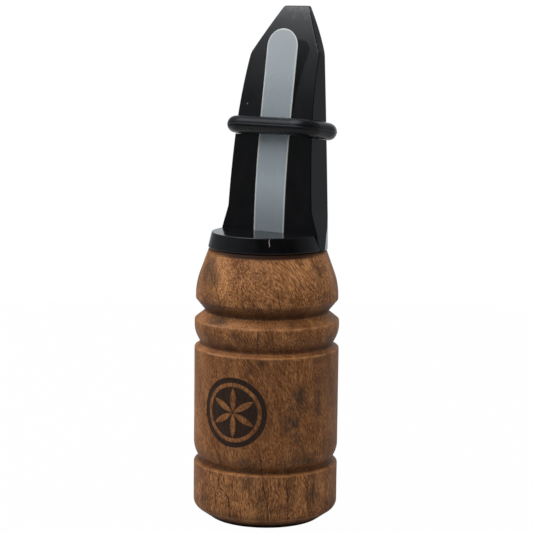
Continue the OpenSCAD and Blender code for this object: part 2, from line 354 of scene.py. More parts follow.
class Shader(Nodes):
    """Builds one material."""

    def __init__(self, name):
        self.material = bpy.data.materials.new(name)
        super().__init__(self.material)
        self.output = self.nodes.new("ShaderNodeOutputMaterial")
        self.surface = self.nodes.new("ShaderNodeBsdfPrincipled")
        self.links.new(self.surface.outputs[0], self.output.inputs["Surface"])

    def vector(self, operation, a, b, c=(0, 0, 0)):
        return self.add("VectorMath", {0: a, 1: b, 2: c}, operation=operation).outputs[0]

    def place(self, scale=(1, 1, 1), shift=(0, 0, 0)):
        """Object coordinates in millimetres, shifted and then scaled."""
        coords = self.add("TexCoord").outputs["Object"]
        millimetres = self.vector("MULTIPLY", coords, (1 / MM,) * 3)
        shifted = self.add("Mapping", {"Vector": millimetres, "Location": shift}).outputs[0]
        return self.vector("MULTIPLY", shifted, scale)

    def height(self):
        """Height above the foot in millimetres."""
        return self.add("SeparateXYZ", {0: self.place()}).outputs[2]

    def swayed(self, scale, amount, shift=(0, 0, 0), slant=0.0):
        """Object coordinates in millimetres that drift from place to place by an amount and lean
        left going up, upright at the foot and sloping by the slant at 50 mm."""
        drift = self.add("TexNoise", {
            "Vector": self.place((0.10, 0.10, 0.085), (4, 7, 1)), "Detail": 1.0,
            "Scale": 1.0}).outputs["Color"]
        drift = self.vector("SUBTRACT", drift, (0.5, 0.5, 0.5))
        moved = self.vector("MULTIPLY_ADD", drift, (amount, amount, 0), self.place(shift=shift))
        z = self.height()
        rise = self.math("MULTIPLY", z, self.math("MULTIPLY", z, 0.01))
        up = self.add("CombineXYZ", {0: rise, 1: rise}).outputs[0]
        side = math.radians(FIGURE_AND_SHADOW_AZIMUTH)
        lean = (slant * math.cos(side), slant * math.sin(side), 0)
        return self.vector("MULTIPLY", self.vector("MULTIPLY_ADD", up, lean, moved), scale)

    def weigh(self, *parts):
        """0.5 plus each value's distance from 0.5 times its gain."""
        total = 0.5
        for value, gain in parts:
            total = self.add("Math", {
                0: self.math("SUBTRACT", value, 0.5), 1: gain, 2: total},
                operation="MULTIPLY_ADD").outputs[0]
        return total

    def path(self, value, points):
        """A smooth curve through points of 0..1 against 0..1."""
        node = self.add("FloatCurve", {"Value": value})
        curve = node.mapping.curves[0]
        while len(curve.points) < len(points):
            curve.points.new(0.5, 0.5)
        for point, (x, y) in zip(curve.points, sorted(points)):
            point.location = (x, y)
        node.mapping.update()
        return node.outputs[0]

    def noise(self, vector, detail, roughness, scale=1.0):
        node = self.add("TexNoise", {
            "Vector": vector, "Scale": scale, "Detail": detail, "Roughness": roughness})
        return node.outputs["Fac"]

    def span(self, value, low, high, to_low=0.0, to_high=1.0):
        """Maps low..high to to_low..to_high with soft ends."""
        node = self.add("MapRange", {
            "Value": value, "From Min": low, "From Max": high,
            "To Min": to_low, "To Max": to_high}, interpolation_type="SMOOTHSTEP")
        return node.outputs["Result"]

    def colours(self, value, stops):
        """A colour ramp over 0..1 from (place, red, green, blue) stops."""
        node = self.add("ValToRGB", {"Fac": value})
        ramp = node.color_ramp
        while len(ramp.elements) < len(stops):
            ramp.elements.new(0.5)
        for element, (place, red, green, blue) in zip(ramp.elements, stops):
            element.position = place
            element.color = (red, green, blue, 1)
        return node.outputs["Color"]

    def mix(self, factor, a, b, blend="MIX"):
        node = self.add("Mix", data_type="RGBA", blend_type=blend)
        self.plug(node.inputs[0], factor)
        self.plug(node.inputs[6], a)
        self.plug(node.inputs[7], b)
        return node.outputs[2]

    def lay(self, colour, mask, strength, tone):
        """A colour with a tone of red, green and blue laid over it where the mask is."""
        return self.mix(self.math("MULTIPLY", mask, strength), colour, (*tone, 1))

    def bump(self, height, strength, distance, under=None):
        """Bump of a height, with its distance in millimetres."""
        inputs = {"Height": height, "Strength": strength, "Distance": distance * MM}
        if under is not None:
            inputs["Normal"] = under
        return self.add("Bump", inputs).outputs[0]

    def attribute(self, name):
        return self.add("Attribute", attribute_name=name).outputs["Fac"]

    def finish(self, **values):
        """Sets the surface's sockets; underscores in the names stand for spaces."""
        for key, value in values.items():
            self.plug(self.surface.inputs[key.replace("_", " ")], value)
        return self.material


def line_on_turning(shader, points, width, radius, wander):
    """A thin line over a turned surface through points of z and azimuth: 1 on it, 0 off it.
    It wanders off its course by up to half the wander."""
    x, y, z = shader.add("SeparateXYZ", {0: shader.place()}).outputs
    azimuth = shader.math("DEGREES", shader.math("ARCTAN2", x, shader.math("MULTIPLY", y, -1.0)))
    heights, turns = zip(*points)
    low_z = min(heights)
    high_z = max(heights)
    low_a = min(turns) - 1.0
    high_a = max(turns) + 1.0
    along = shader.add("MapRange", {
        "Value": z, "From Min": low_z, "From Max": high_z}).outputs["Result"]
    course = shader.path(along, [((pz - low_z) / (high_z - low_z), (pa - low_a) / (high_a - low_a))
                                 for pz, pa in points])
    course = shader.add("MapRange", {
        "Value": course, "To Min": low_a, "To Max": high_a}).outputs["Result"]
    # Degrees off the course, as millimetres round the surface
    off = shader.math("MULTIPLY", shader.math("SUBTRACT", azimuth, course), math.radians(radius))
    seed = shader.add("CombineXYZ", {0: low_a, 1: high_z, 2: z}).outputs[0]
    wiggle = shader.math("MULTIPLY", shader.math(
        "SUBTRACT", shader.noise(seed, 4.0, 0.62, scale=0.9), 0.5), wander)
    distance = shader.math("ABSOLUTE", shader.math("SUBTRACT", off, wiggle))
    patchy = shader.span(shader.noise(seed, 2.0, 0.5, scale=1.3), 0.35, 0.6, 0.60, 1.0)
    line = shader.math("MULTIPLY", shader.span(distance, width * 0.3, width, 1.0, 0.0), patchy)
    fade = min(1.2, (high_z - low_z) * 0.2)
    ends = shader.math("MULTIPLY",
                       shader.span(z, low_z, low_z + fade),
                       shader.span(z, high_z - fade, high_z, 1.0, 0.0))
    return shader.math("MULTIPLY", line, ends)


def wood_material():
    shader = Shader("barrel_wood")
    # Broad tone: long soft bands along the grain
    bands = shader.noise(shader.swayed((0.20, 0.20, 0.06), 5.0, slant=0.1), 3.0, 0.6)
    patches = shader.noise(shader.swayed((0.50, 0.50, 0.24), 5.0, (8, 2, 5), 0.3), 2.0, 0.5)
    # Curly figure: short streaks whose slant drifts from place to place
    streaks = shader.noise(shader.swayed((4.0, 4.0, 0.45), 4.0, (1, 2, 9), 0.62), 2.0, 0.55)
    fine = shader.noise(shader.swayed((6.8, 6.8, 1.1), 4.0, (1, 4, 2), 0.62), 1.0, 0.6)
    tone = shader.weigh((bands, 0.70), (patches, 0.34), (streaks, 0.85), (fine, 1.2))
    # Calmer on the grip than in the foot band and on the shoulder
    z = shader.height()
    lively = shader.math("ADD", shader.span(z, 11.0, 13.0, 0.92, 0.66),
                         shader.span(z, 33.0, 48.0, 0, 0.22))
    tone = shader.weigh((tone, lively))
    colour = shader.colours(tone, [
        (0.25, 0.066, 0.023, 0.0065), (0.42, 0.124, 0.047, 0.0140),
        (0.55, 0.205, 0.086, 0.0295), (0.75, 0.360, 0.172, 0.0700)])
    # Browner below, paler and greyer on the shoulder
    tint = shader.mix(shader.span(z, 33.0, 52.0), (0.85, 0.80, 0.73, 1), (1.10, 1.10, 1.08, 1))
    colour = shader.mix(1.0, colour, tint, "MULTIPLY")
    # Growth lines: wavy thin darker contours
    rings = shader.noise(shader.swayed((0.14, 0.14, 0.020), 6.0, (2, 5, 0)), 1.0, 0.4)
    rings = shader.math("PINGPONG", shader.math("MULTIPLY", rings, 26.0), 1.0)
    rings = shader.span(rings, 0.0, 0.16, 1.0, 0.0)
    colour = shader.lay(colour, rings, 0.22, (0.040, 0.016, 0.007))
    # Pores: thin dark dashes
    pores = shader.noise(shader.swayed((5.5, 5.5, 0.80), 4.0, (5, 5, 0), 0.15), 2.0, 0.5)
    pores = shader.span(pores, 0.57, 0.68)
    colour = shader.lay(colour, pores, 0.42, (0.026, 0.012, 0.006))
    # Dark mineral stains
    speckle = shader.noise(shader.swayed((1.8, 1.8, 0.70), 6.0, (1, 9, 3), 0.2), 4.0, 0.65)
    speckle = shader.span(speckle, 0.34, 0.62)
    stain = shader.math("MULTIPLY", shader.attribute("stain"), shader.math("ADD", speckle, 0.40))
    colour = shader.lay(colour, stain, 0.80, (0.031, 0.017, 0.0095))
    # Hairline cracks
    cracks = 0.0
    for points, width in CRACKS:
        crack = line_on_turning(shader, points, width * 1.25, BARREL_R, 0.9)
        cracks = shader.math("MAXIMUM", cracks, crack)
    colour = shader.lay(colour, cracks, 0.76, (0.013, 0.007, 0.004))
    # Painted shade, partly oil, in the grooves and at both ends; edges rubbed pale with a painted
    # highlight; and the burned ornament
    colour = shader.lay(colour, shader.attribute("groove"), 0.72, (0.019, 0.0065, 0.0022))
    colour = shader.lay(colour, shader.attribute("lip"), 0.40, (0.40, 0.18, 0.075))
    char = shader.colours(shader.noise(shader.place((3, 3, 1.2)), 4.0, 0.6), [
        (0.3, 0.008, 0.0035, 0.0018), (0.7, 0.030, 0.0135, 0.0065)])
    colour = shader.mix(shader.attribute("burn"), colour, char)
    rough = shader.span(fine, 0.3, 0.7, 0.46, 0.62)
    lathe_marks = shader.noise(shader.place((0.05, 0.05, 5.0)), 2.0, 0.5)
    normal = shader.bump(lathe_marks, 0.12, 0.05)
    normal = shader.bump(fine, 0.25, 0.05, normal)
    normal = shader.bump(cracks, -0.6, 0.15, normal)
    return shader.finish(Base_Color=colour, Roughness=rough, Normal=normal, Specular_IOR_Level=0.2)


def plastic_material():
    shader = Shader("toneboard_plastic")
    cloud = shader.noise(shader.place((0.4, 0.4, 0.25)), 4.0, 0.6)
    colour = shader.colours(cloud, [
        (0.35, 0.0022, 0.0022, 0.0025), (0.65, 0.0036, 0.0036, 0.0041)])
    # Pale specks, and the flange's scratch
    specks = shader.span(
        shader.noise(shader.place((5.5, 5.5, 5.5), (2, 9, 4)), 1.0, 0.5), 0.76, 0.80)
    colour = shader.lay(colour, specks, 0.25, (0.16, 0.16, 0.16))
    scratch = line_on_turning(shader, FLANGE_SCRATCH, 0.13, RIM_R, 0.0)
    colour = shader.lay(colour, scratch, 0.9, (0.30, 0.25, 0.23))
    # Grey where the tip is rubbed, in patches, and the face's scuffs
    z = shader.height()
    rubbed = shader.math("ADD", shader.span(z, TIP_Z - 3.25, TIP_Z - 1.65, 0.0, 0.03),
                         shader.span(z, TIP_Z - 1.65, TIP_Z - 0.65, 0.0, 0.09))
    patches = shader.noise(shader.place((0.9, 0.9, 0.9), (3, 5, 2)), 3.0, 0.6)
    dust = shader.math("MULTIPLY", rubbed, shader.span(patches, 0.38, 0.62, 0.55, 1.35))
    place = shader.place()
    for spot, radius, strength in SCUFFS:
        off = shader.add("VectorMath", {0: place, 1: spot}, operation="DISTANCE").outputs["Value"]
        dust = shader.math("ADD", dust, shader.span(off, radius / 3, radius, strength, 0.0))
    colour = shader.mix(dust, colour, (0.27, 0.27, 0.27, 1))
    rough = shader.span(cloud, 0.3, 0.7, 0.10, 0.17)
    peel = shader.noise(shader.place((1.3, 1.3, 0.9)), 2.0, 0.5)
    return shader.finish(Base_Color=colour, Roughness=rough, Normal=shader.bump(peel, 0.04, 0.02),
                         Specular_IOR_Level=0.45)


def rubber_material():
    shader = Shader("ring_rubber")
    dusty = shader.noise(shader.place((1.1, 1.1, 1.1)), 5.0, 0.65)
    colour = shader.colours(dusty, [
        (0.35, 0.0026, 0.0028, 0.0036), (0.70, 0.0050, 0.0055, 0.0068)])
    worn = shader.noise(shader.place((0.22, 0.22, 0.5), (6, 2, 1)), 3.0, 0.6)
    rough = shader.span(worn, 0.35, 0.65, 0.19, 0.30)
    grit = shader.noise(shader.place((6, 6, 6)), 3.0, 0.6)
    return shader.finish(Base_Color=colour, Roughness=rough, Normal=shader.bump(grit, 0.12, 0.03),
                         Specular_IOR_Level=0.24)


def film_material():
    shader = Shader("reed_film")
    z = shader.height()
    streaks = shader.noise(shader.place((1.6, 1.6, 0.05)), 2.0, 0.5)
    colour = shader.colours(streaks, [
        (0.35, 0.366, 0.423, 0.461), (0.65, 0.385, 0.443, 0.481)])
    # Painted light and shade: paler towards the tip, where more light falls; painted shade towards
    # the foot, under the flange, and near the ring
    colour = shader.mix(shader.span(z, 80.0, 101.0), colour, (0.462, 0.514, 0.551, 1))
    from_ring = shader.math("ABSOLUTE", shader.math("SUBTRACT", z, RING_Z))
    painted_shade = shader.math("MULTIPLY", shader.span(z, 59.5, 71.0, 0.73, 1.06),
                        shader.span(from_ring, 6.0, 12.0, 0.89, 1.0))
    painted_shade = shader.add("CombineXYZ", {0: painted_shade, 1: painted_shade, 2: painted_shade}).outputs[0]
    colour = shader.mix(1.0, colour, painted_shade, "MULTIPLY")
    # The cut edge glows pale
    colour = shader.lay(colour, shader.attribute("rim"), 0.85, (0.98, 0.98, 0.93))
    rough = shader.span(streaks, 0.3, 0.7, 0.22, 0.27)
    scuffs = shader.noise(shader.place((2.5, 2.5, 0.2)), 3.0, 0.6)
    return shader.finish(
        Base_Color=colour, Roughness=rough, Normal=shader.bump(scuffs, 0.02, 0.01), Alpha=0.42)


# Hairlines on the barrel: points of z and azimuth, and the width
CRACKS = [
    ([(18.2, -11), (16.5, -8), (14.6, -4), (13.2, -5), (11.6, -6)], 0.20),
    ([(11.8, -2.5), (9.2, -4), (8.0, 0.5), (6.5, 5.5), (4.5, 6), (1.2, 6.5)], 0.22),
    ([(11.5, -10), (9.0, -9.5), (7.0, -7.5), (4.0, -7)], 0.13),
    ([(17.6, 29), (15.5, 31), (13.0, 32), (9.0, 34), (7.0, 36.5), (1.5, 37.5)], 0.16),
    ([(16.0, 50.5), (11.0, 52), (6.0, 53), (1.5, 53.5)], 0.13),
    ([(41.6, 28.5), (39.5, 28), (36.8, 27.5)], 0.17),
    ([(55.5, -33), (53.0, -27), (51.0, -17), (49.0, -10), (46.3, -5)], 0.20),
    ([(31.5, -33), (28.6, -28), (26.0, -23), (22.0, -20)], 0.14),
    ([(41.3, -25), (40.0, -22), (38.5, -18.5), (36.8, -20)], 0.17),
    ([(51.0, 42), (48.0, 44.5), (44.3, 45)], 0.12),
    ([(54.0, 85), (50.0, 88), (46.3, 84)], 0.13),
    ([(11.5, 71), (8.0, 70), (3.5, 72)], 0.20),
    ([(10.5, 76.5), (6.5, 75.5), (4.0, 77)], 0.16),
    ([(30.0, 150), (24.0, 153), (17.0, 149)], 0.16),
    ([(12.0, 196), (7.0, 193), (2.0, 195)], 0.18),
    ([(55.0, 232), (51.0, 236), (46.5, 233)], 0.16),
    ([(33.0, 265), (26.0, 261), (19.0, 264)], 0.14),
]

# Dark stains on the barrel: azimuth, z, half width in degrees, half height, strength
STAINS = [
    (-28, 52.8, 12, 2.2, 0.95), (-17, 51.0, 7, 1.4, 0.85), (-40, 50.5, 14, 4.0, 0.6),
    (-12, 46.0, 10, 1.5, 0.6), (-10, 42.6, 10, 0.9, 0.9), (56, 42.6, 4, 0.6, 0.7),
    (10, 40.5, 5, 0.9, 0.6), (3, 37.6, 6, 0.8, 0.5), (98, 38.6, 9, 1.8, 0.6),
    (86, 53.2, 9, 1.3, 0.5), (88, 47.4, 12, 1.6, 0.4), (62, 27.0, 7, 3.0, 0.95),
    (56, 22.8, 8, 2.2, 0.9), (60, 19.8, 7, 1.6, 0.7), (80, 26.5, 5, 3.5, 0.6),
    (90, 30.0, 12, 5.5, 0.45), (84, 35.0, 10, 1.5, 0.6), (31, 34.9, 3, 0.6, 0.7),
    (24, 33.8, 5, 1.0, 0.5), (18, 13.7, 10, 1.6, 0.8), (64, 14.6, 16, 2.0, 0.6),
    (95, 16.0, 14, 2.5, 0.4), (-22, 5.0, 6, 1.8, 0.75), (76, 8.0, 5, 4.2, 0.75),
    (56, 9.0, 4, 3.8, 0.5), (45, 5.0, 8, 1.5, 0.55), (20, 10.3, 5, 1.6, 0.6),
    (97, 4.5, 9, 1.6, 0.6), (31, 5.5, 4, 3.2, 0.5), (150, 26.0, 12, 4.0, 0.6),
    (185, 33.0, 9, 2.0, 0.5), (210, 20.0, 10, 3.5, 0.6), (245, 30.0, 12, 3.0, 0.5),
    (160, 50.0, 12, 2.0, 0.5), (230, 52.0, 9, 1.6, 0.6), (275, 24.0, 10, 4.0, 0.4),
    (300, 12.5, 10, 2.0, 0.5), (170, 7.0, 10, 2.5, 0.5), (255, 6.0, 9, 2.0, 0.5),
    (200, 42.7, 16, 0.9, 0.6), (290, 48.0, 9, 2.0, 0.4),
]

# The short mark on the flange's front: points of z and azimuth
FLANGE_SCRATCH = [(59.85, 37.6), (59.55, 36.6), (59.1, 36.2), (58.5, 36.7), (58.0, 36.4)]

# Dust and scuffs on the toneboard's face: place in millimetres, radius, strength
SCUFFS = [
    ((-7.2, 2.37, 85.8), 0.24, 0.4), ((0.1, 8.26, 103.6), 0.7, 0.03),
    ((3.2, 8.21, 103.5), 0.6, 0.03), ((7.4, 5.99, 98.3), 0.4, 0.09),
    ((8.3, 5.51, 97.0), 0.4, 0.09),
]

# Painted shade, partly oil, above the grooves' floors: z of the floor, the height it reaches,
# strength
GROOVE_SHADE = [
    (LOWER_FLOOR_Z, 1.6, 0.55), (LOWER_FLOOR_Z, 0.9, 0.95),
    (UPPER_FLOOR_Z, 2.0, 0.8), (LANYARD_FLOOR_Z, 4.0, 0.95),
]

# Edges of the barrel that are rubbed pale, with a painted highlight along them: radius, z and
# strength
WORN_AND_HIGHLIT_EDGES = [
    (14.5, 2.3, 1.0), (BARREL_R, LOWER_GROOVE_Z, 0.35),
    (BARREL_R, UPPER_GROOVE_Z, 1.0), (BARREL_R, LANYARD_Z, 1.0),
]


# Barrel

def barrel_profile():
    """The closed half section of the barrel: outside, rim, seat, bore."""
    return rounded([
        (BORE_R + MOUTH_CHAMFER, 0, 0),
        (FOOT_R, 0, FOOT_EDGE_R),
        (BARREL_R, FOOT_BEVEL_H, BEVEL_EDGE_R),
        (BARREL_R, LOWER_GROOVE_Z, TURNED_EDGE_R),
        (BARREL_R - LOWER_GROOVE_DEPTH, LOWER_FLOOR_Z, GROOVE_FLOOR_R),
        (BARREL_R, LOWER_SWEEP_Z, GROOVE_SWEEP_R),
        (BARREL_R, UPPER_GROOVE_Z, TURNED_EDGE_R),
        (BARREL_R - UPPER_GROOVE_DEPTH, UPPER_FLOOR_Z, GROOVE_FLOOR_R),
        (BARREL_R, UPPER_SWEEP_Z, GROOVE_SWEEP_R),
        (BARREL_R, LANYARD_Z, TURNED_EDGE_R),
        (BARREL_R - LANYARD_DEPTH, LANYARD_FLOOR_Z, GROOVE_FLOOR_R),
        (SHOULDER_R, SHOULDER_Z, TURNED_EDGE_R),
        (SHOULDER_R, SHOULDER_BEND_Z, SHOULDER_SWEEP_R),
        (RIM_R, RIM_Z, RIM_EDGE_R),
        (SEAT_R + MOUTH_CHAMFER, RIM_Z, 0),
        (SEAT_R, RIM_Z - MOUTH_CHAMFER, 0),
        (SEAT_R, SEAT_Z, 0),
        (BORE_R, SEAT_Z, 0),
        (BORE_R, MOUTH_CHAMFER, 0),
    ])


def smooth(value, low, high):
    """Rises softly from 0 at low to 1 at high."""
    t = min(1.0, max(0.0, (value - low) / (high - low)))
    return t * t * (3 - 2 * t)


def burned(u, v):
    """How burned a place is, u across and v up from the middle of a ringed six-petal flower."""
    def beyond(distance, radius):
        return smooth(distance, radius - BURN_EDGE, radius + BURN_EDGE)

    r = math.hypot(u, v)
    ring = beyond(r, ORNAMENT_RING_R) * (1 - beyond(r, ORNAMENT_R))
    petal = 0.0
    for k in range(6):
        sides = []
        for turn in (k - 1, k + 1):
            t = math.radians(60 * turn + 30)
            sides.append(math.hypot(u - PETAL_R * math.cos(t), v - PETAL_R * math.sin(t)))
        petal = max(petal, 1 - beyond(max(sides), PETAL_R * PETAL_SHARE))
    return max(ring, (1 - beyond(r, PETAL_R)) * (1 - petal))


def stained(azimuths, heights):
    """How dark the mineral stains are at each place on the barrel."""
    ragged = np.array([
        noise.noise((a / 6.0, z / 1.6, 0.5)) + 0.5 * noise.noise((a / 2.5, z / 0.7, 4.5))
        for a, z in zip(azimuths, heights)])
    reach = 1.7
    fade = 1.6
    out = np.zeros(len(azimuths))
    for azimuth, z, half_w, half_h, strength in STAINS:
        across = ((azimuths - azimuth + 180) % 360 - 180) / half_w
        off = np.hypot(across, (heights - z) / half_h) + 0.6 * ragged
        fall = np.clip((reach - off) / fade, 0, 1)
        out = np.maximum(out, strength * fall * fall * (3 - 2 * fall))
    return out


def barrel_azimuths(half_sector):
    """Angles round the barrel, close together over the ornament and a slice apart elsewhere."""
    azimuths = list(np.arange(
        ORNAMENT_AZIMUTH - half_sector, ORNAMENT_AZIMUTH + half_sector,
        math.degrees(FINE_STEP / BARREL_R)))
    rest = 360 - (azimuths[-1] - azimuths[0])
    parts = round(rest / SLICE)
    return azimuths + [azimuths[-1] + rest * i / parts for i in range(1, parts)]


def barrel_step(a, b):
    """The longest mesh edge on the stretch from a to b of the barrel's half section."""
    from_ornament = abs((a[1] + b[1]) / 2 - ORNAMENT_Z)
    if a[0] > BARREL_R - 0.1 and from_ornament < ORNAMENT_R + ORNAMENT_BAND_H:
        return FINE_STEP
    if a[0] < INSIDE_R:
        return BORE_STEP
    return END_STEP if a[1] > RIM_Z - RIM_BAND_H or b[1] < FOOT_BEVEL_H else PLAIN_STEP


def oil_and_painted_shade(r, z, outside, front):
    """How dark a place is painted: shade above the grooves' floors, partly oil, shade on the foot's
    underside, the flange's shadow on the shoulder, and a darker band on the rim's top towards its
    edge. front runs from 0 to 1 towards the side where the flange's painted shadow is deepest.
    """
    if not outside:
        # Darker towards the outer edge of the rim's top, under the flange
        return 0.8 * smooth(r, RIM_R - 1.2, RIM_R - 0.4) * (z > RIM_Z - 0.1)
    # Painted shade above each groove's floor, partly oil
    in_groove = max(strength * (1 - smooth(z, floor, floor + reach)) * (z > floor - 0.15)
                    for floor, reach, strength in GROOVE_SHADE)
    # Painted shade on the foot's underside
    at_foot = 1.4 * (1 - smooth(z, 0.75, 1.65))
    # Painted shadow of the flange on the shoulder, wider and deeper on the front side
    dark_z = RIM_Z - 0.1 - 0.7 * front
    at_rim = (0.8 + 0.7 * front) * smooth(z, dark_z - 0.45, dark_z)
    return max(in_groove, at_foot, at_rim)


def edge_wear_and_highlight(r, z, azimuth):
    """How pale, in patches, the barrel's edges are at a place: rubbed, with a painted highlight
    along them.
    """
    worn = max(strength * (1 - smooth(math.hypot(r - edge_r, z - edge_z), 0.10, 0.30))
               for edge_r, edge_z, strength in WORN_AND_HIGHLIT_EDGES)
    return worn * (0.25 + 0.75 * smooth(noise.noise((azimuth / 7, z, 3.3)), -0.3, 0.3))


def build_barrel():
    half_sector = math.degrees(ORNAMENT_R / BARREL_R) + 1.5
    azimuths = barrel_azimuths(half_sector)
    profile = spaced(barrel_profile(), barrel_step)
    sections = []
    painted = {"groove": [], "burn": [], "lip": []}
    for azimuth in azimuths:
        t = math.radians(azimuth)
        turn = (azimuth - ORNAMENT_AZIMUTH + 180) % 360 - 180
        # 1 on the side where the flange's painted shadow is deepest, falling to 0 a quarter turn
        # away
        front = max(0.0, math.cos(t - math.radians(FIGURE_AND_SHADOW_AZIMUTH)))
        ring = []
        for r, z in profile:
            outside = r > INSIDE_R and 0.02 < z < RIM_Z - 0.02
            u = math.radians(turn) * BARREL_R
            v = z - ORNAMENT_Z
            in_ornament = r > BARREL_R - 0.1 and abs(v) < ORNAMENT_R + 1 and abs(turn) < half_sector
            depth = burned(u, v) if in_ornament else 0.0
            painted["groove"].append(oil_and_painted_shade(r, z, outside, front))
            painted["burn"].append(depth)
            painted["lip"].append(edge_wear_and_highlight(r, z, azimuth) if outside else 0.0)
            wobble = 0.0
            if outside:
                wobble = WOBBLE * noise.noise((r * math.sin(t) / 3, r * math.cos(t) / 3, z / 5))
            radius = r + wobble - BURN_DEPTH * depth
            ring.append((radius * math.sin(t), -radius * math.cos(t), z))
        sections.append(ring)
    barrel = loft("barrel_turned", sections, closed=True)
    painted["stain"] = stained(
        np.repeat(azimuths, len(profile)), np.tile([z for _, z in profile], len(azimuths)))
    for name, values in painted.items():
        paint(barrel, name, values)
    barrel.data.materials.append(wood_material())
    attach(barrel, "barrel")
    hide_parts("barrel")


# Toneboard

FACE_BREAK = math.asin(FACE_LOWER_H / FACE_LOWER_R)


def face_angle(h):
    """The face's lean from upright at a height, in radians."""
    if h < FACE_LOWER_H:
        return math.asin(h / FACE_LOWER_R)
    return math.asin(math.sin(FACE_BREAK) + (h - FACE_LOWER_H) / FACE_UPPER_R)


def face_y(h):
    """How far behind the axis the face lies at a height."""
    if h < FACE_LOWER_H:
        return FACE_OFFSET + FACE_LOWER_R * (1 - math.cos(face_angle(h)))
    return (FACE_OFFSET + FACE_LOWER_R * (1 - math.cos(FACE_BREAK))
            + FACE_UPPER_R * (math.cos(FACE_BREAK) - math.cos(face_angle(h))))


def board_half_widths():
    """The right edge of the board's front view, as points of height and half width."""
    flare = (ROOT_HALF_W - BOARD_HALF_W) / ROOT_FLARE_H
    on_axis = [(BOARD_H, 0, 0), (-FLANGE_H, 0, 0)]
    return rounded([
        (-FLANGE_H, ROOT_HALF_W + flare * FLANGE_H, 0), (ROOT_FLARE_H, BOARD_HALF_W, BOARD_BEND_R),
        (NECK_H, NECK_HALF_W, BOARD_BEND_R), (BOARD_H, TIP_HALF_W, 0)] + on_axis)[:-2]


def board_section(h, edge, inset=0.0):
    """The section of the board at a height, moved in by an inset: flat face and sides, oval back.
    Below the flange's top the face leans back and the sides spread a little."""
    sunk = max(-h, 0.0) / FLANGE_H
    front = face_y(max(h, 0.0)) + RIM_LEAN * sunk + inset
    back_r = BACK_ROOT_R + (BACK_TIP_R - BACK_ROOT_R) * max(h, 0.0) / BOARD_H - inset
    wide = back_r + BACK_WIDER
    deep = back_r - BACK_SHALLOWER
    side = min(np.interp(h, *zip(*edge)), ROOT_HALF_W + ROOT_SPREAD * sunk) - inset
    rear = deep * math.sqrt(1 - (side / wide) ** 2)
    front_r = FRONT_EDGE_R + NECK_EDGE_MORE * smooth(h, NECK_H - 2, NECK_H + 1)
    front_r = min(front_r, (rear - front) * 0.35)
    back_edge_r = min(BACK_EDGE_R, (rear - front) * 0.3)
    arc = math.acos(side / wide)
    parts = 14
    turns = [arc + (math.pi / 2 - arc) * i / parts for i in range(2, parts + 1)]
    back = [(wide * math.cos(t), deep * math.sin(t)) for t in turns]
    right = fillet((0, front), (side, front), (side, rear), front_r, 4)
    right += fillet((side, front), (side, rear), back[0], back_edge_r, 4)
    right += back
    left = [(-x, y) for x, y in right[-2::-1]]
    return [(x, y, FLANGE_TOP_Z + h) for x, y in right + left]


def board_solid():
    edge = board_half_widths()
    heights = [h for h, _ in edge]
    heights += list(np.arange(-FLANGE_H, BOARD_H, BOARD_STEP))
    heights = sorted({round(h, 3) for h in heights if h < BOARD_H - TIP_EDGE_R - 0.05})
    sections = [board_section(h, edge) for h in heights]
    parts = 5
    for i in range(parts + 1):
        t = math.pi / 2 * i / parts
        sections.append(board_section(
            BOARD_H - TIP_EDGE_R * (1 - math.sin(t)), edge, TIP_EDGE_R * (1 - math.cos(t))))
    return loft("toneboard_moulding", sections)


def circle(radius, count):
    """Points of x and y round the axis."""
    turns = [2 * math.pi * i / count for i in range(count)]
    return [(radius * math.cos(t), radius * math.sin(t)) for t in turns]


def disc_solid(name, corners):
    """A turned solid from corners of radius, height and rounding, from the axis to the axis."""
    profile = rounded(corners)[1:-1]
    return loft(name, [[(x, y, z) for x, y in circle(r, 160)] for r, z in profile])


def stem_solid():
    bottom = FLANGE_FOOT_Z - STEM_L
    corners = [(0, bottom, 0), (STEM_R - STEM_CHAMFER, bottom, 0),
               (STEM_R, bottom + STEM_CHAMFER, 0)]
    half = STEM_RING_R + STEM_RING_SIDE_ROOM
    for z in sorted(STEM_RING_HEIGHTS.values()):
        corners += [(STEM_R, z - half, STEM_EDGE_R),
                    (STEM_RING_GROOVE_R, z - half, STEM_CORNER_R),
                    (STEM_RING_GROOVE_R, z + half, STEM_CORNER_R),
                    (STEM_R, z + half, STEM_EDGE_R)]
    corners += [(STEM_R, FLANGE_FOOT_Z, FLANGE_EDGE_R),
                (FLANGE_FOOT_R, FLANGE_FOOT_Z, FLANGE_EDGE_R),
                (FLANGE_TOP_R, FLANGE_TOP_Z, FLANGE_EDGE_R), (0, FLANGE_TOP_Z, 0)]
    return disc_solid("stem", corners)


def prism(name, outline, low, high, place):
    """An outline pushed from low to high; place turns (x, y, depth) into a point."""
    return loft(name, [[place(x, y, d) for x, y in outline] for d in (low, high)])


def channel_solids():
    """The tone channel: its slot in the face, and its foot inside the flange."""
    foot = -(FLANGE_H + STEM_BORE_ROOF) / 2
    half = CHANNEL_W / 2
    top = CHANNEL_H - half

    def place(front):
        """Turns x, a height and a share of the depth into a point, from the front to the floor."""
        def point(x, h, share):
            floor = CHANNEL_FLOOR + CHANNEL_RISE * (h - foot) / (CHANNEL_H + 1 - foot)
            return (x, front + (floor - front) * share, FLANGE_TOP_Z + h)
        return point

    slot = [(-half, 0), (half, 0)]
    slot += [(half * math.cos(math.pi * i / 16), top + half * math.sin(math.pi * i / 16))
             for i in range(17)]
    yield prism("slot", slot, 0, 1, place(-1.0))
    cellar = [(-half, foot), (half, foot), (half, 0.5), (-half, 0.5)]
    yield prism("cellar", cellar, 0, 1, place(FACE_OFFSET))


RING_FRONT_Y = (face_y(RING_H) - REED_LIFT - REED_T - 2 * CONTACT_GAP
                - RING_R / math.cos(face_angle(RING_H)))


